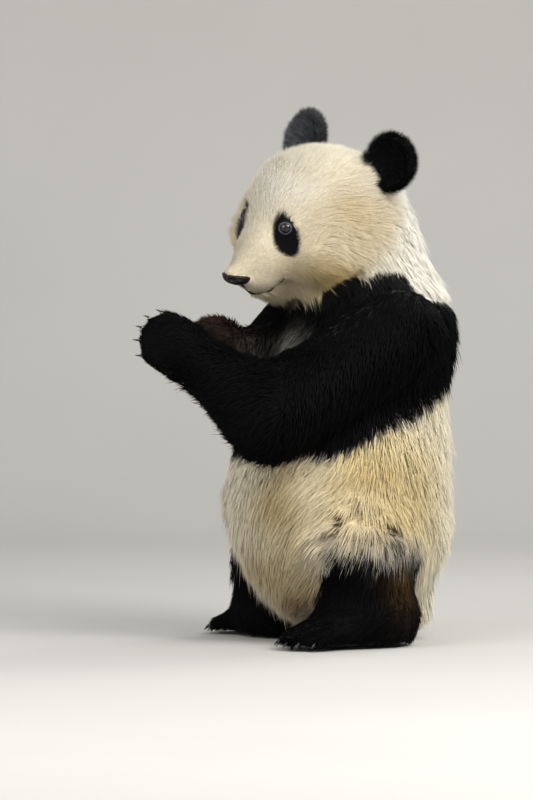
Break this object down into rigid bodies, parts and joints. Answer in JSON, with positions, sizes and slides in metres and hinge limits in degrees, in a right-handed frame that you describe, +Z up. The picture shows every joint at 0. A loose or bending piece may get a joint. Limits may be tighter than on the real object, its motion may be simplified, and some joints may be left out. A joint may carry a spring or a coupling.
{
  "type": "giant panda",
  "caption": "Life-size still model of a half-grown giant panda squatting upright on its hind feet, both forepaws raised before its chest and its head turned to its left.",
  "frame": {"origin": "on the floor, under the middle of the animal's bounding box", "axes": "+Z up, the trunk faces -Y, and +X is the animal's left side"},
  "size_m": [0.494, 0.5884, 0.8542],
  "materials": {
    "white_coat": "dense dull fur, cream-white with tan on the flank and cheek",
    "black_coat": "dense fur, blue-black with a faint sheen",
    "nose": "moist bare skin, finely pebbled",
    "eye": "wet gloss, dark brown iris",
    "claw": "worn horn, semi-gloss"
  },
  "bodies": {
    "root": {"chest": "black_coat", "abdomen": "white_coat", "neck": "white_coat", "tail": "white_coat", "head": "white_coat", "nose": "nose", "eye_left": "eye", "ear_left": "black_coat", "upper_arm_left": "black_coat", "forearm_left": "black_coat", "thigh_left": "white_coat", "shin_left": "black_coat", "forepaw_left": "black_coat", "forepaw_left_claw_1": "claw", "forepaw_left_claw_2": "claw", "forepaw_left_claw_3": "claw", "forepaw_left_claw_4": "claw", "forepaw_left_claw_5": "claw", "hindfoot_left": "black_coat", "hindfoot_left_claw_1": "claw", "hindfoot_left_claw_2": "claw", "hindfoot_left_claw_3": "claw", "hindfoot_left_claw_4": "claw", "hindfoot_left_claw_5": "claw", "eye_right": "eye", "ear_right": "black_coat", "upper_arm_right": "black_coat", "forearm_right": "black_coat", "thigh_right": "white_coat", "shin_right": "black_coat", "forepaw_right": "black_coat", "forepaw_right_claw_1": "claw", "forepaw_right_claw_2": "claw", "forepaw_right_claw_3": "claw", "forepaw_right_claw_4": "claw", "forepaw_right_claw_5": "claw", "hindfoot_right": "black_coat", "hindfoot_right_claw_1": "claw", "hindfoot_right_claw_2": "claw", "hindfoot_right_claw_3": "claw", "hindfoot_right_claw_4": "claw", "hindfoot_right_claw_5": "claw"}
  },
  "joints": []
}
